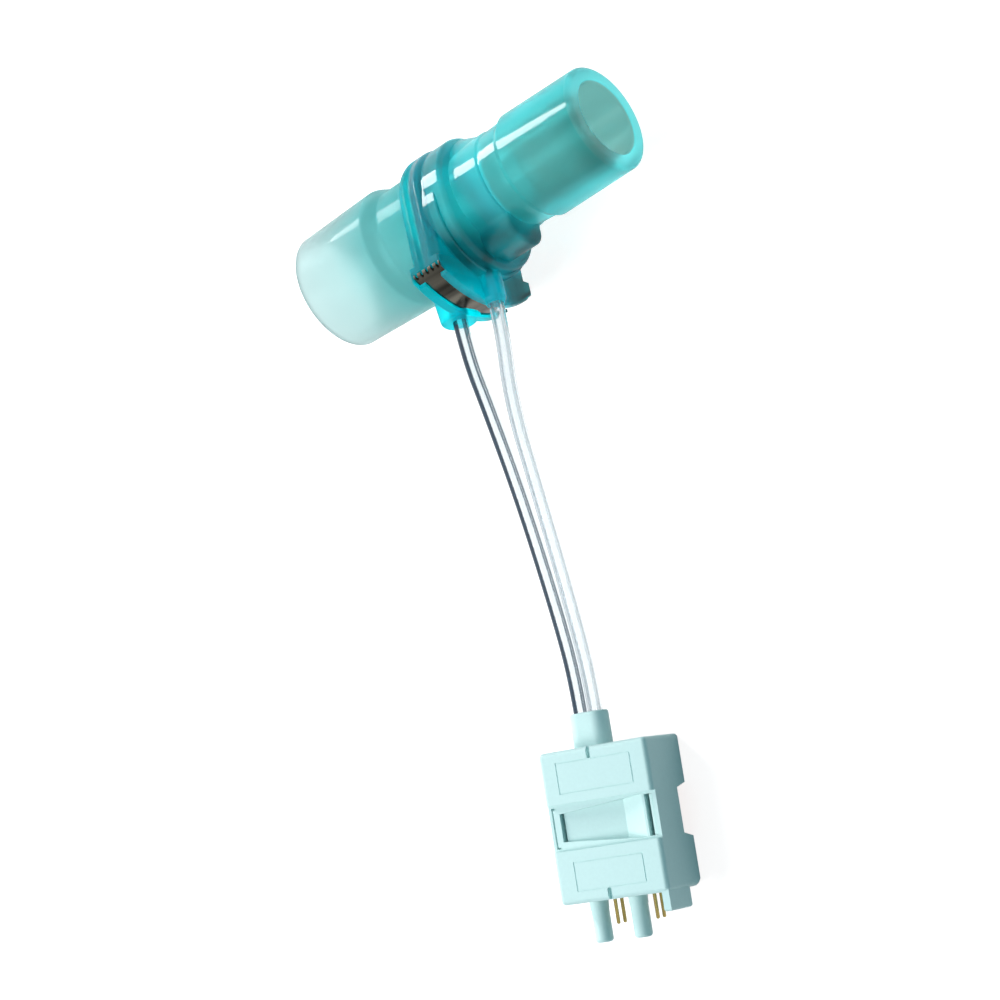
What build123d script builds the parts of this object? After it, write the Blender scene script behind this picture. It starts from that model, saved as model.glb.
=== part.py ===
from build123d import *
from math import atan, cos, degrees, pi, radians, sin, tan
import os

# Flow sensor for an anaesthesia breathing circuit, in millimetres.
# Row frame: +Z up from the surface it lies on, +X along the flow from the inlet socket,
# and the pressure tubes leave towards -Y. The origin is below the middle of the sensor body.
# Sensor frame: X along the flow from the socket's mouth, -Y along the port nipples.
# Connector frame: +Y towards the tubes, +Z out of the front face, origin on the back face.

# Sizes of the inlet housing
mouth_r = 12.45
mouth_edge_r = 0.4
socket_length = 19.5
shoulder_r = 13.0
shoulder_length = 3.2
shoulder_edge_r = 1.6
neck_r = 11.5
neck_root_r = 1.2
socket_bore_r = 11.1
socket_bore_depth = 18.0
socket_stop_length = 1.2
lead_in_length = 0.6
lead_in_flare = 0.35
taper_per_mm = 1 / 80
channel_r = 9.3
inlet_channel_r = 9.0
channel_step_from = 4.0
channel_step_to = 2.0

# Sizes of the flange that joins the two housings
flange_x = 29.8
inlet_flange_thick = 3.9
outlet_flange_thick = 3.3
flange_r = 13.4
foot_r = 21.5
flange_edge_r = 2.2
foot_corner_r = 1.0
skirt_height = 7.5
skirt_proud = 0.3
skirt_edge_r = 0.5

# Sizes of the outlet housing
ring_r = 13.0
ring_drop = 3.4
ring_lower_r = 12.6
ring_end_x = 41.7
ring_edge_r = 1.0
tier_r = 12.7
tier_drop = 3.5
tier_lower_r = 13.1
tier_x = 39.3
tier_edge_r = 0.3
sleeve_r = 10.5
sleeve_end_x = 49.4
keel_half = 4.8
keel_reach = 14.3
keel_root_r = 1.8
keel_corner_r = 3.2
keel_root_share = 0.4
keel_corner_share = 0.65
keel_end_r = 0.9
gusset_r = 9.2
gusset_sunk = 0.1
gusset_end_x = 47.2
barrel_r = 10.25
barrel_end_r = 10.5
cone_x = 53.8
cone_step = 1.2
cone_base_r = 11.18
body_length = 73.5
cone_edge_r = 1.1
outlet_bore_r = 7.7
outlet_bore_depth = 17.0
outlet_channel_r = 7.1
channel_ramp_x = 44.0
channel_ramp_length = 7.0

# Sizes of the two pressure ports
front_port_x = 38.2
rear_port_x = 28.6
front_tip_reach = 0.9
rear_tip_reach = 0.2
nipple_r = 2.25
nipple_lip_r = 1.9
nipple_lip_length = 1.1
nipple_rim_r = 0.2
nipple_root = 2.0
boss_r = 3.7
boss_base_r = 4.2
boss_length = 5.7
neck_overlap = 0.8
boss_lip_r = 0.8
port_hole_r = 0.75
tube_seat_depth = 4.0

# Sizes of the steel strap in the foot
band_width = 4.0
band_thick = 0.5
band_sunk = 0.55
band_clearance = 0.08
bar_width = 6.9
bar_reach = 1.5
notch_width = 0.6
notch_depth = 0.6
notch_count = 5

# Sizes of the variable orifice
plate_r = 10.4
plate_thick = 0.3
orifice_r = 8.5
flap_gap = 0.3
flap_thick = 0.2
hinge_y = 6.9
seal_r = 11.7
seal_section_r = 0.42
seal_groove_clearance = 0.04

# Sizes of the pressure tubes
tube_r = 1.5
tube_bore_r = 0.8
tube_fit = 0.03
bend_share = 0.45
rear_exit_run = 7.0
front_exit_run = 5.5
relief_entry_run = 5.7
relief_inner_y = 7.8
inner_bend_y = -1.2
inner_bend_share = 0.42
barb_run = 3.8

# Corners of the tubes' free runs, in the row frame before the move to the body's middle
rear_free_corners = [(29.0, -40.5, 18.2), (27.0, -60.0, 14.6), (22.9, -81.9, 9.7)]
front_free_corners = [(34.6, -41.5, 18.6), (31.2, -60.5, 14.9), (26.2, -82.4, 9.45)]

# Sizes of the connector
conn_width = 23.6
conn_height = 29.0
conn_depth = 13.1
part_z = 6.55
conn_edge_r = 0.9
conn_wall = 1.3
foot_cut = 3.0
pitch = 4.3
first_stub_x = -7.15
waist_half = 4.45
waist_depth = 1.0
pocket_depth = 3.0
pocket_left_depth = 1.7
pocket_left_x = -8.95
pocket_right_x = 8.7
pocket_left_half = 2.7
pocket_right_half = 4.1
pocket_crease_x = 3.6
pocket_ramp_drop = 0.3
window_x = 9.25
window_width = 1.75
window_half = 3.9
hook_gap = 0.6
hook_sunk = 0.5
passage_half = 3.4
slot_x = -9.55
slot_width = 0.6
slot_wall = 0.8
groove_x = -11.2
groove_width = 0.35
groove_depth = 0.6
groove_lip = 1.0
rear_notch_depth = 3.4
rear_notch_half = 4.3
rear_notch_flare = 0.8
foot_chamfer = 1.3
mark_x = -0.7
mark_width = 0.85
mark_length = 2.3
mark_depth = 0.8
frame_groove_width = 0.22
frame_groove_depth = 0.12
upper_frame = (6.3, 12.3, 8.2)
lower_frame = (-12.2, -6.6, 7.6)
key_x = 10.1
key_width = 1.5
key_length = 3.6
key_back_z = 4.4
key_front_gap = 0.3
key_root = 1.5
key_edge_r = 0.5

# Sizes of the strain relief, manifold, pins and board
relief_width = 8.0
relief_depth = 5.0
relief_length = 6.6
relief_flange = 1.2
relief_flange_proud = 0.6
relief_edge_r = 0.5
relief_inset = 0.5
tube_spacing = 3.2
stub_r = 1.75
stub_length = 8.0
stub_collar_length = 1.7
stub_collar_r = 1.95
stub_collar_end_r = 1.84
stub_bore_r = 0.7
stub_tip_r = 0.7
barb_bore_r = 0.35
barb_length = 2.0
barb_clearance = 0.05
manifold_y = -10.2
manifold_height = 2.4
bridge_height = 1.0
manifold_half_depth = 2.3
manifold_end = 0.4
pin_r = 0.36
pin_row_pitch = 2.54
pin_free_length = 4.9
pin_inner_length = 6.6
pin_seat_gap = 0.02
carrier_half_depth = 2.35
carrier_half_width = 1.0
carrier_length = 3.0
board_thick = 0.8
board_gap = 0.1
board_low_x = -9.9
board_high_x = 7.5
board_low_z = 3.0
board_high_z = 11.2
board_tube_hole_r = 1.8
chip_length = 2.9
chip_width = 1.6
chip_height = 1.1
chip_lead_reach = 0.55
chip_lead_width = 0.4
chip_lead_thick = 0.15
chip_lead_pitch = 0.95
chip_lead_root = 0.1
chip_x = 5.0
chip_z = 9.75
capacitor_length = 1.6
capacitor_side = 0.8
capacitor_edge_r = 0.1
capacitor_z = 9.7
fit_gap = 0.05

# Places of the sensor body and the connector on the surface
nipple_lift = 10.0
contact_run = flange_x + flange_edge_r - mouth_edge_r
body_tilt = degrees(atan((flange_r - mouth_r) / contact_run))
axis_height = mouth_r * cos(radians(body_tilt)) - mouth_edge_r * sin(radians(body_tilt))
conn_place_x = 18.8
conn_place_y = -121.1
conn_heading = -12.0
conn_roll = 5.0

# Derived places that several pieces share
joint_x = flange_x + inlet_flange_thick
flange_end_x = joint_x + outlet_flange_thick
skirt_top_y = skirt_height - foot_r
front_tip_y = -foot_r - front_tip_reach
rear_tip_y = -foot_r - rear_tip_reach
boss_root_y = rear_tip_y + boss_length
band_outer_r = foot_r - band_sunk
band_inner_r = band_outer_r - band_thick
stub_xs = [first_stub_x, first_stub_x + 2 * pitch]
pin_xs = [first_stub_x + pitch, first_stub_x + 3 * pitch]
relief_x = first_stub_x + pitch
foot_y = -conn_height / 2
head_y = conn_height / 2
front_z = conn_depth
board_y = manifold_y + bridge_height + board_gap


def revolve_about_flow(points):
    face = make_face(Polyline(*points, close=True).edges())
    return revolve(face, Axis.X)


def along_flow(sketch, x_start, x_end):
    # Extrudes a sketch, drawn with local x across and local y up the sensor, along the flow.
    plane = Plane(origin=(x_start, 0, 0), x_dir=(0, 0, -1), z_dir=(1, 0, 0))
    return extrude(plane * sketch, x_end - x_start)


def flow_cylinder(radius, x_start, x_end):
    return along_flow(Circle(radius), x_start, x_end)


def box_between(low, high):
    size = [b - a for a, b in zip(low, high)]
    centre = [(a + b) / 2 for a, b in zip(low, high)]
    return Pos(*centre) * Box(*size)


def radial_cylinder(radius, x, y_start, y_end):
    # A cylinder along Y in the sensor frame.
    plane = Plane(origin=(x, y_start, 0), x_dir=(1, 0, 0), z_dir=(0, -1, 0))
    return extrude(plane * Circle(radius), y_start - y_end)


def foot_outline(half_width):
    # Round top, straight sides and a foot that is an arc about the flow axis.
    outline = Circle(half_width) + Pos(0, -foot_r / 2) * Rectangle(2 * half_width, foot_r)
    outline = outline & Circle(foot_r)
    corners = outline.vertices().filter_by(lambda v: v.Y < -foot_r / 2)
    return fillet(corners, foot_corner_r)


def flange_half(x_start, x_end, rounded_x):
    plate = along_flow(foot_outline(flange_r), x_start, x_end)
    rim = plate.edges().filter_by(lambda e: abs(e.center().X - rounded_x) < 0.01)
    plate = fillet(rim, flange_edge_r)
    x_low = x_start - skirt_proud if rounded_x == x_start else x_start
    x_high = x_end + skirt_proud if rounded_x == x_end else x_end
    below = box_between((x_low - 1, -foot_r - 1, -foot_r), (x_high + 1, skirt_top_y, foot_r))
    skirt = along_flow(foot_outline(flange_r), x_low, x_high) & below
    edges = skirt.edges().filter_by(lambda e: abs(e.center().X - rounded_x) < skirt_proud + 0.01)
    edges = edges.filter_by(lambda e: e.center().Y < skirt_top_y - 0.01)
    return plate + fillet(edges, skirt_edge_r)


def band_channel(half_width, x_centre, grow):
    # Annular space of the strap, with the wider pocket of each end bar.
    ring = Circle(foot_r + 1) - Circle(band_inner_r - grow)
    side = flange_r + 1
    lower = Pos(0, -foot_r) * Rectangle(2 * side, foot_r)
    strip = along_flow(ring & lower, x_centre - half_width - grow, x_centre + half_width + grow)
    bar_half = bar_width / 2 + grow
    ends = flange_r - bar_reach - grow
    inner = Pos(0, -foot_r) * Rectangle(2 * ends, 2 * foot_r)
    bars = along_flow((ring & lower) - inner, x_centre - bar_half, x_centre + bar_half)
    return strip + bars


def make_clamp_band():
    centre_x = joint_x
    ring = Circle(band_outer_r) - Circle(band_inner_r)
    reach = flange_r - band_clearance
    lower = Pos(0, -foot_r) * Rectangle(2 * reach, foot_r)
    strip = along_flow(ring & lower, centre_x - band_width / 2, centre_x + band_width / 2)
    inner = Pos(0, -foot_r) * Rectangle(2 * (flange_r - bar_reach), 2 * foot_r)
    bars = along_flow((ring & lower) - inner, centre_x - bar_width / 2, centre_x + bar_width / 2)
    band = strip + bars
    step = bar_width / notch_count
    for side in (-1, 1):
        for index in range(notch_count):
            x = centre_x - bar_width / 2 + (index + 0.5) * step
            z = side * (reach - notch_depth / 2)
            band = band - Pos(x, -foot_r, z) * Box(notch_width, foot_r, notch_depth)
    boss = radial_cylinder(boss_base_r + band_clearance, rear_port_x, 0, -foot_r - 2)
    nipple = radial_cylinder(nipple_r + band_clearance, front_port_x, 0, -foot_r - 2)
    return band - boss - nipple


def socket_taper_r(x):
    return socket_bore_r - x * taper_per_mm


def make_inlet_housing():
    shoulder_end = socket_length + shoulder_length
    outer = [
        (0, 0), (0, mouth_r), (socket_length, shoulder_r),
        (shoulder_end, neck_r), (joint_x, neck_r), (joint_x, 0),
    ]
    body = revolve_about_flow(outer)
    body = fillet(edges_at(body, 0).filter_by(GeomType.CIRCLE), mouth_edge_r)
    body = fillet(edges_at(body, socket_length), shoulder_edge_r)
    body = fillet(edges_at(body, shoulder_end), neck_root_r)
    body = body + flange_half(flange_x, joint_x, flange_x)
    body = body + rear_boss()
    stop_r = socket_taper_r(socket_bore_depth)
    throat = [
        (-1, 0), (-1, socket_bore_r + 1), (0, socket_bore_r + lead_in_flare),
        (lead_in_length, socket_taper_r(lead_in_length)), (socket_bore_depth, stop_r),
        (socket_bore_depth + socket_stop_length, inlet_channel_r),
        (flange_x - channel_step_from, inlet_channel_r), (flange_x - channel_step_to, channel_r),
        (joint_x + 1, channel_r), (joint_x + 1, 0),
    ]
    body = body - revolve_about_flow(throat)
    body = body - flow_cylinder(plate_r + fit_gap, joint_x - plate_thick - fit_gap, joint_x + 1)
    body = body - band_channel(band_width / 2, joint_x, band_clearance)
    return body - port_bore(rear_port_x, rear_tip_y)


def rear_boss():
    plane = Plane(origin=(rear_port_x, boss_root_y, 0), x_dir=(1, 0, 0), z_dir=(0, -1, 0))
    base = plane * Circle(boss_base_r)
    tip = plane.offset(boss_root_y - rear_tip_y) * Circle(boss_r)
    boss = loft([base, tip])
    lip = boss.edges().filter_by(lambda e: abs(e.center().Y - rear_tip_y) < 0.01)
    boss = fillet(lip, boss_lip_r)
    core = radial_cylinder(boss_base_r, rear_port_x, neck_overlap - neck_r, boss_root_y)
    keep = box_between((0, -foot_r - 5, -foot_r), (joint_x, 0, foot_r))
    return (boss + core) & keep


def port_bore(x, tip_y):
    seat = radial_cylinder(tube_r + tube_fit, x, tip_y + tube_seat_depth, tip_y - 1)
    hole = radial_cylinder(port_hole_r, x, -inlet_channel_r / 2, tip_y)
    return seat + hole


def make_outlet_housing():
    cone_foot_x = cone_x + cone_step
    cone_tip_r = cone_base_r - (body_length - cone_foot_x) * taper_per_mm
    body = revolve_about_flow([
        (joint_x, 0), (joint_x, barrel_r), (sleeve_end_x, barrel_r), (cone_x, barrel_end_r),
        (cone_foot_x, cone_base_r), (body_length, cone_tip_r), (body_length, 0),
    ])
    body = fillet(edges_at(body, body_length).filter_by(GeomType.CIRCLE), cone_edge_r)
    body = body + flange_half(joint_x, flange_end_x, flange_end_x)
    body = body + ring() + sleeve() + gusset()
    body = body + front_nipple()
    stop_x = body_length - outlet_bore_depth
    stop_r = outlet_bore_r - outlet_bore_depth * taper_per_mm
    ramp_end = channel_ramp_x + channel_ramp_length
    bore = [
        (joint_x - 1, 0), (joint_x - 1, channel_r), (channel_ramp_x, channel_r),
        (ramp_end, outlet_channel_r), (stop_x, outlet_channel_r), (stop_x, stop_r),
        (body_length - lead_in_length, outlet_bore_r - lead_in_length * taper_per_mm),
        (body_length, outlet_bore_r + lead_in_flare), (body_length + 1, outlet_bore_r + 1),
        (body_length + 1, 0),
    ]
    body = body - revolve_about_flow(bore)
    body = body - seal_groove()
    body = body - band_channel(band_width / 2, joint_x, band_clearance)
    return body - port_bore(front_port_x, front_tip_y)


def front_nipple():
    # Straight nipple whose last stretch narrows to a rounded lip around the tube.
    root_y = nipple_root - ring_r
    stem = radial_cylinder(nipple_r, front_port_x, root_y, front_tip_y + nipple_lip_length)
    shoulder = stem.faces().sort_by(Axis.Y)[0]
    plane = Plane(origin=(front_port_x, front_tip_y, 0), x_dir=(1, 0, 0), z_dir=(0, -1, 0))
    lip = loft([shoulder, plane * Circle(nipple_lip_r)])
    rim = lip.edges().filter_by(lambda e: abs(e.center().Y - front_tip_y) < 0.01)
    return stem + fillet(rim, nipple_rim_r)


def seal_groove():
    half = seal_section_r + seal_groove_clearance
    ring = Circle(seal_r + half) - Circle(seal_r - half)
    return along_flow(ring, joint_x - 1, joint_x + 2 * half)


def edges_at(solid, x):
    return solid.edges().filter_by(lambda e: abs(e.center().X - x) < 0.01)


def ring():
    # Two-tier ring in front of the flange, wider below where the front nipple stands.
    tier = along_flow(hung_outline(tier_r, tier_lower_r, tier_drop), joint_x + 1, tier_x)
    tier = fillet(edges_at(tier, tier_x), tier_edge_r)
    front = along_flow(hung_outline(ring_r, ring_lower_r, ring_drop), flange_end_x, ring_end_x)
    return tier + fillet(edges_at(front, ring_end_x), ring_edge_r)


def sleeve():
    # Round sleeve behind the ring with the keel of the pressure passage below it.
    keel = Pos(0, -keel_reach / 2) * Rectangle(2 * keel_half, keel_reach)
    section = Circle(sleeve_r) + keel
    roots = section.vertices().filter_by(lambda v: -sleeve_r < v.Y < 0)
    wall = keel_reach + roots[0].Y
    section = fillet(roots, min(keel_root_r, keel_root_share * wall))
    corners = section.vertices().filter_by(lambda v: v.Y < 0.01 - keel_reach)
    section = fillet(corners, min(keel_corner_r, keel_corner_share * wall))
    body = along_flow(section, ring_end_x - 1, sleeve_end_x)
    rim = edges_at(body, sleeve_end_x).filter_by(lambda e: e.center().Y < -sleeve_r)
    return fillet(rim, keel_end_r)


def gusset():
    # Sloped back of the ring that runs down to the sleeve's top.
    start = Plane(origin=(ring_end_x - ring_edge_r, 0, 0), x_dir=(0, 0, -1), z_dir=(1, 0, 0))
    end = Plane(origin=(gusset_end_x, 0, 0), x_dir=(0, 0, -1), z_dir=(1, 0, 0))
    high = start * Pos(0, ring_r - gusset_r - gusset_sunk) * Circle(gusset_r)
    low = end * Pos(0, sleeve_r - gusset_r - gusset_sunk) * Circle(gusset_r)
    return loft([high, low])


def hung_outline(upper_r, lower_r, drop):
    # Outline of a round wall with a smaller round bulge hung below it, joined by tangents.
    round_wall = CenterArc((0, 0), upper_r, 0, 360)
    bulge = CenterArc((0, -drop), lower_r, 0, 360)
    return make_hull([round_wall, bulge])


def make_flap_frame():
    disc = flow_cylinder(plate_r, joint_x - plate_thick, joint_x)
    hole = Circle(orifice_r) - Pos(0, orifice_r + hinge_y) * Rectangle(3 * orifice_r, 2 * orifice_r)
    return disc - along_flow(hole, joint_x - 2 * plate_thick, joint_x + plate_thick)


def make_flap():
    leaf_r = orifice_r - flap_gap
    top = hinge_y - flap_gap
    leaf = Circle(leaf_r) - Pos(0, leaf_r + top) * Rectangle(3 * leaf_r, 2 * leaf_r)
    middle = joint_x - plate_thick / 2
    return along_flow(leaf, middle - flap_thick / 2, middle + flap_thick / 2)


def make_housing_seal():
    centre = joint_x + seal_section_r + seal_groove_clearance
    section = Plane.XY * Pos(centre, seal_r) * Circle(seal_section_r)
    return revolve(section, Axis.X)


def shell_block(z_low, z_high):
    # Rounded outer block of the plug between two depths.
    block = box_between((-conn_width / 2, foot_y, 0), (conn_width / 2, head_y, conn_depth))
    heel = block.edges().filter_by(Axis.X)
    heel = heel.filter_by(lambda e: e.center().Z < 0.01 and e.center().Y < 0)
    block = chamfer(heel, foot_chamfer)
    rounded = block.edges().filter_by(lambda e: e.center().Z > conn_depth - 0.01)
    corners = block.edges().filter_by(Axis.Z)
    block = fillet(rounded + corners, conn_edge_r)
    slab = box_between((-conn_width, -conn_height, z_low), (conn_width, conn_height, z_high))
    return block & slab


def across_plug(points, x_low, x_high):
    # Extrudes an outline given as (y, z) points across the plug's width.
    plane = Plane(origin=(x_low, 0, 0), x_dir=(0, 1, 0), z_dir=(1, 0, 0))
    face = make_face(Polyline(*points, close=True).edges())
    return extrude(plane * face, x_high - x_low)


def grip_pocket():
    # Wedge-shaped finger recess: its floor falls to a crease, then rises to the window.
    floor_z = front_z - pocket_depth
    ramp_z = front_z - waist_depth - pocket_ramp_drop
    profile = [
        (pocket_left_x, front_z - pocket_left_depth), (pocket_crease_x, floor_z),
        (pocket_right_x, ramp_z), (pocket_right_x, front_z + 1), (pocket_left_x, front_z + 1),
    ]
    plane = Plane(origin=(0, conn_height / 2, 0), x_dir=(1, 0, 0), z_dir=(0, -1, 0))
    depth_face = make_face(Polyline(*profile, close=True).edges())
    body = extrude(plane * depth_face, conn_height)
    wedge = [
        (pocket_left_x, pocket_left_half), (pocket_right_x, pocket_right_half),
        (pocket_right_x, -pocket_right_half), (pocket_left_x, -pocket_left_half),
    ]
    face = make_face(Polyline(*wedge, close=True).edges())
    return body & extrude(Pos(0, 0, part_z) * face, conn_depth)


def frame_groove(y_low, y_high, x_half):
    outer = Pos(0, (y_low + y_high) / 2) * Rectangle(2 * x_half, y_high - y_low)
    inner_size = (2 * x_half - 2 * frame_groove_width, y_high - y_low - 2 * frame_groove_width)
    inner = Pos(0, (y_low + y_high) / 2) * Rectangle(*inner_size)
    return extrude(Pos(0, 0, front_z - frame_groove_depth) * (outer - inner), 1)


def edge_mark(y_edge, direction):
    # Small round-ended mark cut in from the top or foot edge of the front face.
    centre_y = y_edge + direction * (mark_length - mark_width / 2)
    slot = Pos(mark_x, (y_edge + centre_y) / 2) * Rectangle(mark_width, mark_length)
    slot = slot + Pos(mark_x, centre_y) * Circle(mark_width / 2)
    return extrude(Pos(0, 0, front_z - mark_depth) * slot, 1)


def inner_space():
    # Hollow inside the plug, shallow at the waist where both faces are recessed.
    side = conn_width / 2 - conn_wall
    end = head_y - conn_wall
    top = front_z - conn_wall
    waist = waist_half + conn_wall
    right = window_x - conn_wall
    low = rear_notch_depth + conn_wall
    high = front_z - pocket_depth - conn_wall
    head = box_between((-side, waist, conn_wall), (right, end, top))
    foot = box_between((-side, -end, 1.5 * conn_wall), (right, -waist, top))
    shoulders = box_between((-side, -waist - 1, low), (right - 1, waist + 1, high))
    passage_left = slot_x + slot_width + slot_wall
    rib = box_between((-side, -passage_half, low), (passage_left, passage_half, high))
    shoulders = shoulders - rib
    return head + foot + shoulders


def head_and_foot_openings():
    # Round and slot openings where the stubs, pins and relief pass the shells' walls.
    cut = relief_body(fit_gap)
    for x in stub_xs:
        cut = cut + foot_cylinder(stub_collar_r + fit_gap, x, part_z, foot_y + foot_cut, foot_y - 1)
    for x in pin_xs:
        low = (x - carrier_half_width - fit_gap, foot_y - 1, part_z - carrier_half_depth - fit_gap)
        high_z = part_z + carrier_half_depth + fit_gap
        cut = cut + box_between(low, (x + carrier_half_width + fit_gap, foot_y + foot_cut, high_z))
    return cut


def foot_cylinder(radius, x, z, y_start, y_end):
    plane = Plane(origin=(x, y_start, z), x_dir=(1, 0, 0), z_dir=(0, -1, 0))
    return extrude(plane * Circle(radius), y_start - y_end)


def make_connector_front_shell():
    shell = shell_block(part_z, front_z)
    waist_low = (-conn_width, -waist_half, front_z - waist_depth)
    waist = box_between(waist_low, (conn_width, waist_half, front_z + 1))
    shell = shell - waist - grip_pocket() - inner_space() - head_and_foot_openings()
    window_high = (window_x + window_width, window_half, front_z)
    window = box_between((window_x, -window_half, 0), window_high)
    slot_high = (slot_x + slot_width, pocket_left_half, front_z)
    slot = box_between((slot_x, -pocket_left_half, 0), slot_high)
    shell = shell - window - slot
    floor = front_z - waist_depth - groove_depth
    groove_high = (groove_x + groove_width, window_half, front_z)
    groove = box_between((groove_x, -window_half, floor), groove_high)
    for side in (-1, 1):
        y = side * (window_half - groove_width / 2)
        lip = Box(groove_lip, groove_width, 2 * groove_depth)
        groove = groove + Pos(groove_x + groove_lip / 2, y, floor + groove_depth) * lip
    shell = shell - groove
    shell = shell - edge_mark(head_y, -1) - edge_mark(foot_y, 1)
    shell = shell - frame_groove(*upper_frame) - frame_groove(*lower_frame)
    return shell + key_rib()


def key_rib():
    # Polarising rib beside the pins, with rounded lower corners.
    low = (key_x, foot_y - key_length, part_z)
    rib = box_between(low, (key_x + key_width, foot_y + key_root, front_z - key_front_gap))
    lower = rib.edges().filter_by(lambda e: e.center().Y < foot_y - key_length + 0.01)
    return fillet(lower, key_edge_r)


def make_connector_rear_shell():
    shell = shell_block(0, part_z)
    notch = [
        (-rear_notch_half, rear_notch_depth), (rear_notch_half, rear_notch_depth),
        (rear_notch_half + rear_notch_flare, -0.01), (-rear_notch_half - rear_notch_flare, -0.01),
    ]
    shell = shell - across_plug(notch, -conn_width, conn_width)
    shell = shell - inner_space() - head_and_foot_openings()
    tail_low = (key_x, foot_y - key_length, key_back_z)
    tail = box_between(tail_low, (key_x + key_width, foot_y + key_root, part_z))
    tail_edges = tail.edges().filter_by(lambda e: e.center().Y < foot_y - key_length + 0.01)
    shell = shell + fillet(tail_edges, key_edge_r)
    return shell + snap_hook(window_x, window_width, window_half)


def snap_hook(x, width, half):
    # Snap tongue that stands up in the front shell's window, with a rounded head.
    hook_low = x + hook_gap
    hook_high = x + width - fit_gap
    top = front_z - waist_depth - hook_sunk
    hook = box_between((hook_low, -half + fit_gap, part_z - 1), (hook_high, half - fit_gap, top))
    crest = hook.edges().filter_by(Axis.Y).filter_by(lambda e: e.center().Z > top - 0.01)
    return fillet(crest, (hook_high - hook_low) / 2 - fit_gap)


def relief_body(grow):
    # Stadium-section collar with an inner flange that sits behind the shells' head wall.
    half_straight = (relief_width - relief_depth) / 2
    radius = relief_depth / 2 + grow
    section = Rectangle(2 * half_straight, 2 * radius)
    for side in (-1, 1):
        section = section + Pos(side * half_straight, 0) * Circle(radius)
    start_y = head_y - conn_wall - relief_inset
    plane = Plane(origin=(relief_x, start_y, part_z), x_dir=(1, 0, 0), z_dir=(0, 1, 0))
    return extrude(plane * section, relief_length + conn_wall + relief_inset)


def make_strain_relief():
    collar = relief_body(0)
    tip = collar.edges().filter_by(lambda e: e.center().Y > head_y + relief_length - 0.01)
    collar = fillet(tip, relief_edge_r)
    back_y = head_y - conn_wall - fit_gap
    half_x = relief_width / 2 + relief_flange_proud
    half_z = relief_depth / 2 + relief_flange_proud
    low = (relief_x - half_x, back_y - relief_flange, part_z - half_z)
    collar = collar + box_between(low, (relief_x + half_x, back_y, part_z + half_z))
    for side in (-1, 1):
        x = relief_x + side * tube_spacing / 2
        collar = collar - foot_cylinder(tube_r + tube_fit, x, part_z, head_y + 2 * relief_length, 0)
    return collar


def make_port_manifold():
    # One moulding: cross bar, two outward stubs with collars and two inner barbs.
    back_z = part_z - manifold_half_depth
    front = part_z + manifold_half_depth
    side = stub_collar_r + manifold_end
    block = box_between(
        (stub_xs[0] - side, manifold_y - manifold_height, back_z), (stub_xs[1] + side, manifold_y, front)
    )
    carrier_side = carrier_half_width + fit_gap
    carrier = box_between(
        (pin_xs[0] - carrier_side, foot_y - 1, back_z - 1),
        (pin_xs[0] + carrier_side, manifold_y + 1, front + 1),
    )
    bridge = box_between(
        (stub_xs[0], manifold_y, back_z), (stub_xs[1], manifold_y + bridge_height, front)
    )
    bore_end = manifold_y + bridge_height
    for x in stub_xs:
        stub = foot_cylinder(stub_r, x, part_z, manifold_y - 1, foot_y - stub_length)
        tip = stub.edges().filter_by(lambda e: abs(e.center().Y - foot_y + stub_length) < 0.01)
        stub = fillet(tip, stub_tip_r)
        barb_r = tube_bore_r - barb_clearance
        barb = foot_cylinder(barb_r, x, part_z, bore_end + barb_length, manifold_y - 1)
        block = block + stub + stub_collar(x) + barb
    block = (block - carrier) + bridge
    for index in (0, 1):
        px, pz = pin_place(index)
        block = block - foot_cylinder(pin_r + fit_gap, px, pz, bore_end + 1, foot_y)
    for x in stub_xs:
        wide = foot_cylinder(stub_bore_r, x, part_z, manifold_y, foot_y - stub_length - 1)
        narrow = foot_cylinder(barb_bore_r, x, part_z, bore_end + barb_length + 1, manifold_y - 1)
        block = block - wide - narrow
    return block


def stub_collar(x):
    # Drafted root of one stub, from inside the foot's wall to the faint step below it.
    plane = Plane(origin=(x, manifold_y - 1, part_z), x_dir=(1, 0, 0), z_dir=(0, -1, 0))
    reach = manifold_y - 1 - foot_y + stub_collar_length
    return loft([plane * Circle(stub_collar_r), plane.offset(reach) * Circle(stub_collar_end_r)])


def pin_place(index):
    x = pin_xs[index // 2]
    z = part_z + (0.5 - index % 2) * pin_row_pitch
    return x, z


def make_contact_pin(index):
    x, z = pin_place(index)
    top_y = foot_y + pin_inner_length
    pin = foot_cylinder(pin_r, x, z, top_y, foot_y - pin_free_length)
    tip = pin.edges().filter_by(lambda e: e.center().Y < foot_y - pin_free_length + 0.01)
    return fillet(tip, pin_r - pin_seat_gap)


def make_pin_carrier(column):
    x = pin_xs[column]
    low = (x - carrier_half_width, foot_y, part_z - carrier_half_depth)
    high = (x + carrier_half_width, foot_y + carrier_length, part_z + carrier_half_depth)
    carrier = box_between(low, high)
    for index in (2 * column, 2 * column + 1):
        px, pz = pin_place(index)
        carrier = carrier - foot_cylinder(pin_r + pin_seat_gap, px, pz, head_y, foot_y - 1)
    return carrier


def make_circuit_board():
    # Stands across the plug on the manifold; all four pins and both tubes pass through it.
    low = (board_low_x, board_y, board_low_z)
    high = (board_high_x, board_y + board_thick, board_high_z)
    board = box_between(low, high)
    for index in range(4):
        px, pz = pin_place(index)
        board = board - foot_cylinder(pin_r + fit_gap, px, pz, head_y, foot_y)
    for x in stub_xs:
        board = board - foot_cylinder(board_tube_hole_r, x, part_z, head_y, foot_y)
    return board


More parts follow.
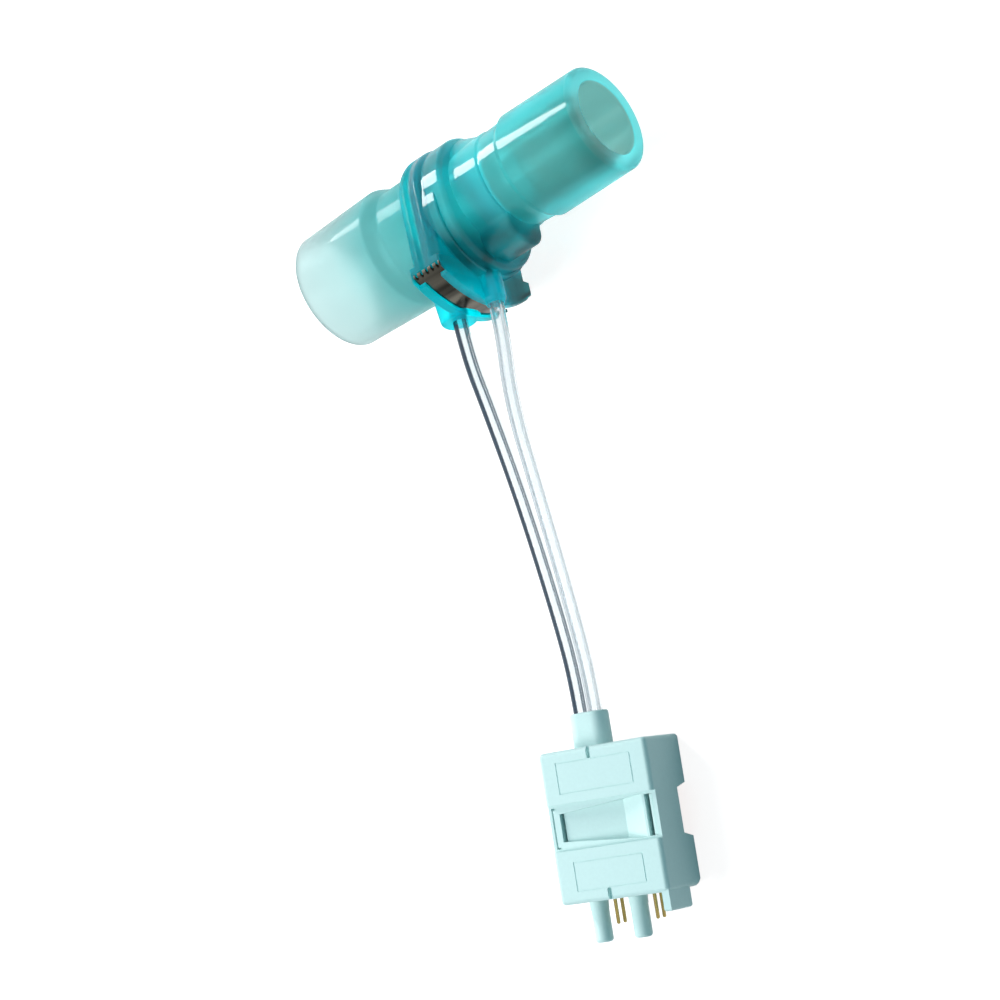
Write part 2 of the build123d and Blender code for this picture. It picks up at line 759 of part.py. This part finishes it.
def make_memory_chip():
    # Six-lead package with gull-wing leads, on the board's upper side.
    face_y = board_y + board_thick + fit_gap
    low = (chip_x - chip_length / 2, face_y + chip_lead_thick, chip_z - chip_width / 2)
    high = (chip_x + chip_length / 2, face_y + chip_height, chip_z + chip_width / 2)
    chip = box_between(low, high)
    knee = chip_width / 2 + chip_lead_thick
    middle = chip_height / 2
    for offset in (-chip_lead_pitch, 0, chip_lead_pitch):
        x_low = chip_x + offset - chip_lead_width / 2
        x_high = x_low + chip_lead_width
        for side in (-1, 1):
            z_in = chip_z + side * (chip_width / 2 - chip_lead_root)
            z_knee = chip_z + side * knee
            z_out = chip_z + side * (chip_width / 2 + chip_lead_reach)
            z_leg = z_knee - side * chip_lead_thick
            arm_low = face_y + middle
            arm_high = arm_low + chip_lead_thick
            arm = box_between_any((x_low, arm_low, z_in), (x_high, arm_high, z_knee))
            leg = box_between_any((x_low, face_y, z_leg), (x_high, arm_high, z_knee))
            toe = box_between_any((x_low, face_y, z_leg), (x_high, face_y + chip_lead_thick, z_out))
            chip = chip + arm + leg + toe
    return chip


def box_between_any(first, second):
    low = [min(a, b) for a, b in zip(first, second)]
    high = [max(a, b) for a, b in zip(first, second)]
    return box_between(low, high)


def make_decoupling_capacitor():
    face_y = board_y + board_thick + fit_gap
    half = capacitor_side / 2
    low = (pin_xs[0] - capacitor_length / 2, face_y, capacitor_z - half)
    high = (pin_xs[0] + capacitor_length / 2, face_y + capacitor_side, capacitor_z + half)
    block = box_between(low, high)
    ends = block.edges().filter_by(Axis.Y)
    return fillet(ends, capacitor_edge_r)


def place_sensor():
    tilt = radians(body_tilt)
    lift = radians(nipple_lift)
    flow = Vector(cos(tilt), 0, sin(tilt))
    upright = Vector(-sin(tilt), 0, cos(tilt))
    nipples = Vector(0, -1, 0) * cos(lift) + upright * sin(lift)
    top = nipples.cross(flow)
    return Plane(origin=(0, 0, axis_height), x_dir=flow, z_dir=top).location


def place_connector():
    # Rolled a little about its length, so that its right rear edge rests on the surface.
    drop = conn_width / 2 * sin(radians(conn_roll))
    place = Pos(conn_place_x, conn_place_y, drop)
    return place * Rot(0, 0, conn_heading) * Rot(0, conn_roll, 0)


def tube_corners(port_x, tip_y, exit_run, free_corners, stub_x, side):
    # Corners of one tube's centre line, from its seat in the port to the manifold's barb.
    sensor = place_sensor()
    plug = place_connector()
    entry_x = relief_x + side * tube_spacing / 2
    bend_x = entry_x + inner_bend_share * (stub_x - entry_x)
    barb_y = manifold_y + bridge_height
    in_sensor = [(port_x, tip_y + tube_seat_depth, 0), (port_x, tip_y - exit_run, 0)]
    in_plug = [
        (entry_x, head_y + relief_length + relief_entry_run, part_z), (entry_x, relief_inner_y, part_z),
        (bend_x, inner_bend_y, part_z), (stub_x, barb_y + barb_run, part_z), (stub_x, barb_y, part_z),
    ]
    corners = [(sensor * Pos(*place)).position for place in in_sensor]
    corners += [Vector(*place) for place in free_corners]
    return corners + [(plug * Pos(*place)).position for place in in_plug]


def bend_radii(corners):
    radii = []
    for before, here, after in zip(corners, corners[1:], corners[2:]):
        arriving = here - before
        leaving = after - here
        half_turn = radians(arriving.get_angle(leaving)) / 2
        radii.append(bend_share * min(arriving.length, leaving.length) / tan(half_turn))
    return radii


def make_tube(name, corners):
    radii = bend_radii(corners)
    path = FilletPolyline(*corners, radius=radii)
    start = Plane(origin=corners[0], z_dir=corners[1] - corners[0])
    tube = sweep(start * (Circle(tube_r) - Circle(tube_bore_r)), path)
    section = pi * (tube_r ** 2 - tube_bore_r ** 2)
    print(name, "length", round(path.length, 2), "radii", [round(radius, 1) for radius in radii])
    print(name, "volume", round(tube.volume, 2), "section times length", round(section * path.length, 2))
    return tube


def bottom_centre(pieces):
    # Move that brings the middle of the pieces' underside to the origin.
    boxes = [piece.bounding_box() for piece in pieces]
    x = (min(box.min.X for box in boxes) + max(box.max.X for box in boxes)) / 2
    y = (min(box.min.Y for box in boxes) + max(box.max.Y for box in boxes)) / 2
    z = min(box.min.Z for box in boxes)
    return -x, -y, -z


def main():
    os.makedirs("parts", exist_ok=True)
    sensor = place_sensor()
    plug = place_connector()
    body_pieces = {
        "inlet_housing": sensor * make_inlet_housing(),
        "outlet_housing": sensor * make_outlet_housing(),
        "clamp_band": sensor * make_clamp_band(),
        "flap_frame": sensor * make_flap_frame(),
        "flap": sensor * make_flap(),
        "housing_seal": sensor * make_housing_seal(),
    }
    plug_pieces = {
        "connector_front_shell": plug * make_connector_front_shell(),
        "connector_rear_shell": plug * make_connector_rear_shell(),
        "strain_relief": plug * make_strain_relief(),
        "port_manifold": plug * make_port_manifold(),
        "circuit_board": plug * make_circuit_board(),
        "memory_chip": plug * make_memory_chip(),
        "decoupling_capacitor": plug * make_decoupling_capacitor(),
    }
    for column in (0, 1):
        plug_pieces[f"pin_carrier_{column + 1}"] = plug * make_pin_carrier(column)
    for index in range(4):
        plug_pieces[f"contact_pin_{index + 1}"] = plug * make_contact_pin(index)
    rear_corners = tube_corners(
        rear_port_x, rear_tip_y, rear_exit_run, rear_free_corners, stub_xs[0], -1
    )
    front_corners = tube_corners(
        front_port_x, front_tip_y, front_exit_run, front_free_corners, stub_xs[1], 1
    )
    tubes = {
        "pressure_tube_rear": make_tube("rear tube", rear_corners),
        "pressure_tube_front": make_tube("front tube", front_corners),
    }
    shift = bottom_centre(body_pieces.values())
    print("origin moved by", shift)
    for name, solid in {**body_pieces, **plug_pieces, **tubes}.items():
        export_step(Pos(*shift) * solid, f"parts/{name}.step")


if __name__ == "__main__":
    main()
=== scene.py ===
import bpy
from mathutils import Matrix, Vector


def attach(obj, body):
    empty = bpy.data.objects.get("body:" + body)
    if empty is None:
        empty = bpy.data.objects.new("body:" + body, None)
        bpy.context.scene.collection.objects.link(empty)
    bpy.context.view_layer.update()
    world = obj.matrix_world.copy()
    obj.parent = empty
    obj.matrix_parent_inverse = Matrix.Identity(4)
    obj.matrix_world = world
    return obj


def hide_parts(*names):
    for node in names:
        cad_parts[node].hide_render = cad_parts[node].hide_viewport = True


# The row frame in metres: +Z up from the surface, +X along the flow from the wide socket,
# and the pressure tubes leave the body towards -Y.

# Camera: its place and axes in the row frame, and its lens and film in millimetres
CAMERA_PLACE = (0.25743, -0.17498, 0.41486)
CAMERA_RIGHT = (0.73741, -0.31422, -0.59790)
CAMERA_UP = (0.39936, 0.91673, 0.01077)
CAMERA_BACK = (0.54473, -0.24672, 0.80150)
CAMERA_LENS = 92.88
FILM_WIDTH = 36.0

# Tubes: outer and bore radius, and the route's points from the port's seat to the manifold
TUBE_R = 0.0015
BORE_R = 0.0008
REAR_ROUTE = [
    (-0.00821, -0.01295, 0.01638), (-0.00826, -0.02378, 0.01828), (-0.00770, -0.03602, 0.01821),
    (-0.00970, -0.05552, 0.01461), (-0.01380, -0.07742, 0.00971), (-0.01611, -0.08960, 0.00795),
    (-0.02006, -0.10818, 0.00795), (-0.02303, -0.11675, 0.00805), (-0.02543, -0.12054, 0.00819),
    (-0.02622, -0.12425, 0.00819),
]
FRONT_ROUTE = [
    (0.00139, -0.01364, 0.01679), (0.00134, -0.02299, 0.01843), (-0.00210, -0.03702, 0.01861),
    (-0.00550, -0.05602, 0.01491), (-0.01050, -0.07792, 0.00946), (-0.01299, -0.09026, 0.00767),
    (-0.01694, -0.10885, 0.00767), (-0.01770, -0.11788, 0.00757), (-0.01705, -0.12232, 0.00744),
    (-0.01784, -0.12603, 0.00744),
]
BODY = "sensor"

# The plug's pieces, which both tubes end in
MINT_NODES = ["strain_relief", "connector_front_shell", "connector_rear_shell", "port_manifold"]
CARRIER_NODES = ["pin_carrier_1", "pin_carrier_2"]
PIN_NODES = ["contact_pin_1", "contact_pin_2", "contact_pin_3", "contact_pin_4"]

# The body's own axes: middle of the socket's mouth, along the flow, and along the ports
MOUTH_PLACE = (-0.0367, 0.00448, 0.01244)
FLOW_AXIS = (0.99955, 0.0, 0.03005)
PORT_AXIS = (-0.00522, -0.98481, 0.17357)
UPWARDS = (0.0, 0.0, 1.0)

# Colour of each housing along the flow, as (metres from the socket's mouth, colour)
INLET_STOPS = [
    (0.0, (0.42, 0.54, 0.54)), (0.0105, (0.34, 0.55, 0.55)), (0.0195, (0.15, 0.54, 0.55)),
    (0.0288, (0.07, 0.52, 0.53)), (0.0299, (0.0, 0.5, 0.58)),
]
OUTLET_STOPS = [
    (0.0337, (0.0, 0.52, 0.6)), (0.0371, (0.0, 0.52, 0.6)), (0.0376, (0.16, 0.8, 0.82)),
    (0.0494, (0.16, 0.8, 0.82)), (0.0545, (0.06, 0.74, 0.77)), (0.0722, (0.06, 0.68, 0.7)),
    (0.0738, (0.42, 0.96, 0.98)),
]

# Zones of another colour on the housings: the keel and the skirt in a darker teal, partly for their
# thick plastic and partly as painted shade on their underside; the foot's far corner in the same
# teal as a painted shadow near the floor; the low side of the cone paler, as painted light; the
# ports' tips and the bores. Each is its colour and its steps, which are (distance, none of the
# colour here, all of it here), and body_distances says what they measure.
SHADED_DEEP_TEAL = (0.015, 0.21, 0.23)
PORT_CYAN = (0.0, 0.86, 0.96)
LOWER_CONE_PAINTED_LIGHT = (0.15, 0.94, 0.97)
INLET_BORE = (0.55, 0.74, 0.73)
OUTLET_BORE = (0.47, 0.3, 0.26)
PORT_BELOW = ("below", 0.0150, 0.0175)
PORT_HEIGHT = ("height", 0.0095, 0.012)
# Keel and skirt: darker teal, partly thick plastic and partly painted shade on the underside
KEEL_THICK_AND_SHADED_ZONE = (SHADED_DEEP_TEAL, [("below", 0.006, 0.0128), ("flow", 0.0371, 0.0377)])
# Foot's far corner near the floor: a painted shadow in darker teal
FOOT_SHADOW_ZONE = (SHADED_DEEP_TEAL, [("below", 0.0105, 0.013), ("height", 0.0098, 0.006)])
# Low side of the cone: painted light, a paler teal
CONE_PAINTED_LIGHT_ZONE = (
    LOWER_CONE_PAINTED_LIGHT,
    [("below", -0.004, 0.004), ("flow", 0.049, 0.056), ("flow", 0.0722, 0.066),
     ("below", 0.0124, 0.008)],
)
INLET_ZONES = [
    (PORT_CYAN, [PORT_BELOW, PORT_HEIGHT]),
    FOOT_SHADOW_ZONE,
    (INLET_BORE, [("radial", 0.0114, 0.0112)]),
]
OUTLET_ZONES = [
    KEEL_THICK_AND_SHADED_ZONE,
    (PORT_CYAN, [PORT_BELOW, ("flow", 0.0415, 0.0407), PORT_HEIGHT]),
    FOOT_SHADOW_ZONE,
    CONE_PAINTED_LIGHT_ZONE,
    (OUTLET_BORE, [("radial", 0.0080, 0.0078)]),
]

# Fine relief, with its heights in metres: the flange's crown towards its seam, the housings'
# waves, and the grain of plain surfaces with the share of colour that its low places keep
CROWN_DROP = -0.0004
WAVE_HEIGHT = 0.00001
WAVE_SCALE = 180.0
GRAIN_HEIGHT = 0.0001
GRAIN_SHADE = 0.93

# Strap: dark and light brown bands, and as zones the pale end near the floor and the teal tint
# where the flange encloses it
STRAP_DARK = (0.018, 0.018, 0.015)
STRAP_LIGHT = (0.11, 0.105, 0.085)
STRAP_ZONES = [
    ((0.86, 0.88, 0.9), [("height", 0.0125, 0.0105)]),
    ((0.1, 0.7, 0.8), [("below", 0.0125, 0.0108)]),
]
BAND_STRETCH = (0.06, 1.0, 1.0)
BAND_SCALE = 420.0

# Clear tubes: how edge-on a place is where the outline's tint starts and is full, the side that
# carries a painted dark reflection line, and how squarely a place faces that side where that line
# starts and is full
OUTLINE_STEP = (0.7, 0.96)
PAINTED_REFLECTION_SIDE = (-0.4, 0.12, 0.91)
PAINTED_REFLECTION_STEP = (0.74, 0.86)

# White surroundings: the world's light on matt surfaces, the floor's glow and grey, and half its
# side and its gap under the object in metres
WHITE = (1.0, 1.0, 1.0)
WORLD_LIGHT = 0.31
WORLD_TINT = (0.34, 0.86, 1.0)
FLOOR_GLOW = 0.88
FLOOR_TINT = (1.0, 0.93, 0.915)
FLOOR_GREY = (0.5, 0.5, 0.5)
FLOOR_HALF = 3.0
FLOOR_GAP = 0.00005


def make_camera():
    data = bpy.data.cameras.new("camera")
    data.sensor_width = FILM_WIDTH
    data.lens = CAMERA_LENS
    camera = bpy.data.objects.new("camera", data)
    axes = Matrix((CAMERA_RIGHT, CAMERA_UP, CAMERA_BACK)).transposed()
    camera.matrix_world = Matrix.Translation(CAMERA_PLACE) @ axes.to_4x4()
    bpy.context.collection.objects.link(camera)
    bpy.context.scene.camera = camera


def route_curve(name, route, radius):
    """Round curve on a route; the radius is each point's own, so that the curve's box is right."""
    data = bpy.data.curves.new(name, "CURVE")
    data.dimensions = "3D"
    data.resolution_u = 16
    data.bevel_depth = 1.0
    data.bevel_resolution = 6
    data.use_fill_caps = True
    spline = data.splines.new("NURBS")
    spline.points.add(len(route) - 1)
    for point, place in zip(spline.points, route):
        point.co = (*place, 1.0)
        point.radius = radius
    spline.order_u = 3
    spline.use_endpoint_u = True
    curve = bpy.data.objects.new(name, data)
    bpy.context.collection.objects.link(curve)
    return curve


def make_tube(name, node, route, clear, inside):
    """Clear tube and its bore as curves, in place of the CAD tube."""
    tube = route_curve(name, route, TUBE_R)
    bore = route_curve(name + "_bore", route, BORE_R)
    tube.data.materials.append(clear)
    bore.data.materials.append(inside)
    bore.parent = tube
    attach(tube, BODY)
    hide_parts(node)


def opaque(colour):
    return (*colour, 1.0)


def set_inputs(tree, node, inputs):
    """Give each input its value, or link it where the value is another node's output."""
    for socket, value in inputs.items():
        if isinstance(value, bpy.types.NodeSocket):
            tree.links.new(value, node.inputs[socket])
        else:
            node.inputs[socket].default_value = value


def add_node(tree, kind, inputs, **settings):
    node = tree.nodes.new("ShaderNode" + kind)
    for name, value in settings.items():
        setattr(node, name, value)
    set_inputs(tree, node, inputs)
    return node


def new_material(name):
    material = bpy.data.materials.new(name)
    material.use_nodes = True
    tree = material.node_tree
    return material, tree, tree.nodes["Principled BSDF"]


def calculate(tree, operation, first, second):
    node = add_node(tree, "Math", {0: first, 1: second}, operation=operation)
    return node.outputs["Value"]


def along(tree, vector, direction):
    """How far a vector reaches in a direction."""
    node = add_node(tree, "VectorMath", {0: vector, 1: direction}, operation="DOT_PRODUCT")
    return node.outputs["Value"]


def object_place(tree):
    return add_node(tree, "TexCoord", {}).outputs["Object"]


def noise_of(tree, vector, scale, detail=2.0):
    node = add_node(tree, "TexNoise", {"Vector": vector, "Scale": scale, "Detail": detail})
    return node.outputs["Fac"]


def body_distances(tree, place):
    """Distances by name: along the flow from the socket's mouth, below the flow's axis towards
    the ports, out from that axis, and height over the surface."""
    shift = add_node(tree, "VectorMath", {0: place, 1: MOUTH_PLACE}, operation="SUBTRACT")
    reach = shift.outputs["Vector"]
    cross = add_node(tree, "VectorMath", {0: reach, 1: FLOW_AXIS}, operation="CROSS_PRODUCT")
    length = add_node(tree, "VectorMath", {0: cross.outputs["Vector"]}, operation="LENGTH")
    return {
        "flow": along(tree, reach, FLOW_AXIS),
        "below": along(tree, reach, PORT_AXIS),
        "radial": length.outputs["Value"],
        "height": along(tree, place, UPWARDS),
    }


def step_between(tree, value, none_at, all_at):
    """Smooth step from 0 to 1; it falls instead where the second value is the lower one."""
    inputs = {"Value": value, "From Min": none_at, "From Max": all_at}
    span = add_node(tree, "MapRange", inputs, interpolation_type="SMOOTHSTEP")
    return span.outputs["Result"]


def ramp_of(tree, value, stops):
    """Colour that follows a value; stops are (value, colour)."""
    low, high = stops[0][0], stops[-1][0]
    span = add_node(tree, "MapRange", {"Value": value, "From Min": low, "From Max": high})
    ramp = add_node(tree, "ValToRGB", {"Fac": span.outputs["Result"]})
    elements = ramp.color_ramp.elements
    while len(elements) < len(stops):
        elements.new(0.5)
    for element, (where, colour) in zip(elements, stops):
        element.position = (where - low) / (high - low)
        element.color = opaque(colour)
    return ramp.outputs["Color"]


def blend_colours(tree, share, first, second):
    """Mix by a share of the second; in a colour Mix node 6 and 7 are its colours, 2 its result."""
    node = add_node(tree, "Mix", {0: share, 6: first, 7: opaque(second)}, data_type="RGBA")
    return node.outputs[2]


def blend_zone(tree, distances, colour, zone):
    """Blend a zone's colour in where all of its steps hold."""
    zone_colour, steps = zone
    share = 1.0
    for distance, none_at, all_at in steps:
        step = step_between(tree, distances[distance], none_at, all_at)
        share = calculate(tree, "MULTIPLY", share, step)
    return blend_colours(tree, share, colour, zone_colour)


def housing_material(name, stops, zones, crown, coat):
    """Translucent teal: colour by place, with painted shade and painted light in some zones, a crown
    on the flange's rim and faint moulded waves.
    """
    material, tree, shader = new_material(name)
    place = object_place(tree)
    distances = body_distances(tree, place)
    colour = ramp_of(tree, distances["flow"], stops)
    # The zones paint shade on the keel, the skirt and the foot's corner, and light on the cone's low
    # side
    for zone in zones:
        colour = blend_zone(tree, distances, colour, zone)
    rim = step_between(tree, distances["flow"], *crown)
    crown_height = calculate(tree, "MULTIPLY", rim, CROWN_DROP)
    wave = calculate(tree, "MULTIPLY", noise_of(tree, place, WAVE_SCALE), WAVE_HEIGHT)
    relief = calculate(tree, "ADD", crown_height, wave)
    bump = add_node(tree, "Bump", {"Distance": 1.0, "Height": relief})
    set_inputs(tree, shader, {
        "Base Color": colour,
        "Normal": bump.outputs["Normal"],
        "Coat Normal": bump.outputs["Normal"],
        "Roughness": 0.5,
        "IOR": 1.15,
        "Specular IOR Level": 0.15,
        "Transmission Weight": 0.88,
        "Coat Weight": coat,
        "Coat Roughness": 0.03,
    })
    return material


def plain_material(name, colour, roughness, metallic=0.0, grain_scale=900.0, grain=0.08, coat=0.0):
    """Opaque surface with a fine grain, which also darkens its colour a little."""
    material, tree, shader = new_material(name)
    noise = noise_of(tree, object_place(tree), grain_scale, detail=4.0)
    bump = add_node(tree, "Bump", {"Strength": grain, "Distance": GRAIN_HEIGHT, "Height": noise})
    darker = [level * GRAIN_SHADE for level in colour]
    set_inputs(tree, shader, {
        "Base Color": blend_colours(tree, noise, opaque(darker), colour),
        "Normal": bump.outputs["Normal"],
        "Roughness": roughness,
        "Metallic": metallic,
        "Specular IOR Level": 0.1 if coat else 0.3,
        "Coat Weight": coat,
        "Coat Roughness": 0.12,
    })
    return material


def clear_material(name, clear, edge, painted_reflection, transmission, ior):
    """Clear plastic: its tint deepens towards its outline, and one side carries a painted dark
    reflection line.
    """
    material, tree, shader = new_material(name)
    facing = add_node(tree, "LayerWeight", {"Blend": 0.5})
    shape = add_node(tree, "NewGeometry", {})
    outline = step_between(tree, facing.outputs["Facing"], *OUTLINE_STEP)
    colour = ramp_of(tree, outline, [(0.0, clear), (1.0, edge)])
    # Painted reflection: one side of the tube is darkened as a line, by which way its surface faces
    side = along(tree, shape.outputs["Normal"], PAINTED_REFLECTION_SIDE)
    colour = blend_colours(tree, step_between(tree, side, *PAINTED_REFLECTION_STEP), colour, painted_reflection)
    set_inputs(tree, shader, {
        "Base Color": colour,
        "Roughness": 0.08,
        "IOR": ior,
        "Transmission Weight": transmission,
    })
    return material


def strap_material(name):
    """Polished strap whose brown and grey bands run across it."""
    material, tree, shader = new_material(name)
    place = object_place(tree)
    distances = body_distances(tree, place)
    stretch = add_node(tree, "Mapping", {"Vector": place, "Scale": BAND_STRETCH})
    noise = noise_of(tree, stretch.outputs["Vector"], BAND_SCALE)
    colour = ramp_of(tree, noise, [(0.35, STRAP_DARK), (0.68, STRAP_LIGHT)])
    for zone in STRAP_ZONES:
        colour = blend_zone(tree, distances, colour, zone)
    set_inputs(tree, shader, {"Base Color": colour, "Metallic": 1.0, "Roughness": 0.16})
    return material


def dress(names, material):
    """Give the material to each named CAD piece."""
    for name in names:
        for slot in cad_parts[name].material_slots:
            slot.material = material


def make_tubes():
    bore = clear_material(
        "tube_bore", clear=(0.97, 0.98, 0.99), edge=(0.5, 0.56, 0.6), painted_reflection=(0.97, 0.98, 0.99),
        transmission=1.0, ior=0.704,
    )
    rear = clear_material(
        "tube_rear_clear", clear=(0.88, 0.92, 0.94), edge=(0.25, 0.32, 0.38),
        painted_reflection=(0.001, 0.004, 0.01), transmission=0.85, ior=1.42,
    )
    front = clear_material(
        "tube_front_clear", clear=(0.94, 0.97, 0.985), edge=(0.28, 0.34, 0.38),
        painted_reflection=(0.4, 0.46, 0.5), transmission=0.8, ior=1.42,
    )
    make_tube("tube_rear", "pressure_tube_rear", REAR_ROUTE, rear, bore)
    make_tube("tube_front", "pressure_tube_front", FRONT_ROUTE, front, bore)


def dress_housings():
    inlet = housing_material(
        "inlet_teal", INLET_STOPS, INLET_ZONES, crown=(0.0320, 0.0337), coat=0.12,
    )
    outlet = housing_material(
        "outlet_teal", OUTLET_STOPS, OUTLET_ZONES, crown=(0.0352, 0.0337), coat=0.36,
    )
    dress(["inlet_housing"], inlet)
    dress(["outlet_housing"], outlet)


def dress_flange_joint():
    """The strap round the flange, and the plate, the leaf and the seal inside it."""
    steel = plain_material("plate_steel", (0.6, 0.6, 0.6), roughness=0.3, metallic=1.0)
    film = plain_material("flap_film", (0.8, 0.82, 0.8), roughness=0.3)
    silicone = plain_material("seal_silicone", (0.4, 0.78, 0.8), roughness=0.5)
    dress(["clamp_band"], strap_material("strap_steel"))
    dress(["flap_frame"], steel)
    dress(["flap"], film)
    dress(["housing_seal"], silicone)


def dress_plug():
    mint = plain_material(
        "connector_mint", (0.7, 0.87, 0.85), roughness=0.45, grain_scale=1400.0, grain=0.03,
        coat=0.2,
    )
    gold = plain_material("gold_plate", (0.36, 0.28, 0.1), roughness=0.22, metallic=1.0)
    carrier = plain_material("carrier_plastic", (0.05, 0.06, 0.06), roughness=0.5)
    laminate = plain_material("board_laminate", (0.02, 0.16, 0.07), roughness=0.4)
    chip = plain_material("chip_plastic", (0.02, 0.02, 0.022), roughness=0.45)
    capacitor = plain_material("capacitor_body", (0.3, 0.2, 0.1), roughness=0.5)
    dress(MINT_NODES, mint)
    dress(PIN_NODES, gold)
    dress(CARRIER_NODES, carrier)
    dress(["circuit_board"], laminate)
    dress(["memory_chip"], chip)
    dress(["decoupling_capacitor"], capacitor)


def seen_ray(tree):
    """1 for camera, glossy and transmission rays, otherwise 0."""
    path = add_node(tree, "LightPath", {})
    seen = path.outputs["Is Camera Ray"]
    for kind in ("Is Glossy Ray", "Is Transmission Ray"):
        seen = calculate(tree, "MAXIMUM", seen, path.outputs[kind])
    return seen


def white_floor():
    """White where it is seen or mirrored, with the object's soft shadow, and grey as a reflector."""
    mesh = bpy.data.meshes.new("floor")
    half = FLOOR_HALF
    corners = [(-half, -half, 0), (half, -half, 0), (half, half, 0), (-half, half, 0)]
    mesh.from_pydata(corners, [], [(0, 1, 2, 3)])
    floor = bpy.data.objects.new("floor", mesh)
    floor.location.z = -FLOOR_GAP
    bpy.context.collection.objects.link(floor)
    material, tree, shader = new_material("floor_white")
    set_inputs(tree, shader, {
        "Base Color": opaque(FLOOR_GREY),
        "Roughness": 0.9,
        "Specular IOR Level": 0.0,
    })
    grey = shader.outputs["BSDF"]
    glow = add_node(tree, "Emission", {"Color": opaque(FLOOR_TINT), "Strength": FLOOR_GLOW})
    both = add_node(tree, "AddShader", {0: grey, 1: glow.outputs["Emission"]})
    mix = add_node(tree, "MixShader", {0: seen_ray(tree), 1: grey, 2: both.outputs["Shader"]})
    set_inputs(tree, tree.nodes["Material Output"], {"Surface": mix.outputs["Shader"]})
    mesh.materials.append(material)


def white_world():
    """White where it is seen or mirrored, and a dimmer tinted light on matt surfaces."""
    world = bpy.data.worlds.new("studio")
    world.use_nodes = True
    tree = world.node_tree
    light = tree.nodes["Background"]
    set_inputs(tree, light, {"Color": opaque(WORLD_TINT), "Strength": WORLD_LIGHT})
    white = add_node(tree, "Background", {"Color": opaque(WHITE), "Strength": 1.0})
    mix = add_node(tree, "MixShader", {
        0: seen_ray(tree), 1: light.outputs["Background"], 2: white.outputs["Background"],
    })
    set_inputs(tree, tree.nodes["World Output"], {"Surface": mix.outputs["Shader"]})
    bpy.context.scene.world = world


def area_light(name, place, target, width, height, watts, shape="RECTANGLE", glossy=True):
    data = bpy.data.lights.new(name, "AREA")
    data.shape = shape
    data.size = width
    data.size_y = height
    data.energy = watts
    light = bpy.data.objects.new(name, data)
    light.location = place
    aim = Vector(target) - Vector(place)
    light.rotation_mode = "QUATERNION"
    light.rotation_quaternion = aim.to_track_quat("-Z", "Y")
    light.visible_glossy = glossy
    bpy.context.collection.objects.link(light)


def light_object():
    """A soft main light without a mirror image, and two narrow ones for the gleams."""
    area_light(
        "key", place=(-0.46, -0.2, 0.52), target=(0.0, -0.06, 0.0), width=0.4, height=0.4,
        watts=4.1, glossy=False,
    )
    area_light(
        "strip", place=(-0.368, 0.49, 0.314), target=(0.01, 0.0, 0.02), width=0.1, height=0.44,
        watts=3.3, shape="ELLIPSE",
    )
    area_light(
        "bar", place=(-0.15, 0.05, 0.7), target=(0.0, -0.13, 0.02), width=0.03, height=0.45,
        watts=0.35,
    )


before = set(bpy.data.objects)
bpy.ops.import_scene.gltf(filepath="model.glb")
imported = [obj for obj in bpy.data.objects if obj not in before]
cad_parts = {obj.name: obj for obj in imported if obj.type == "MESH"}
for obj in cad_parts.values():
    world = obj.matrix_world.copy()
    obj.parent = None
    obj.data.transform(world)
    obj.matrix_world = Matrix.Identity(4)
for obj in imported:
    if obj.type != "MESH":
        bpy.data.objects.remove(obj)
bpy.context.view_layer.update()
bpy.context.scene.view_settings.view_transform = "Standard"
make_camera()
make_tubes()
dress_housings()
dress_flange_joint()
dress_plug()
white_floor()
white_world()
light_object()
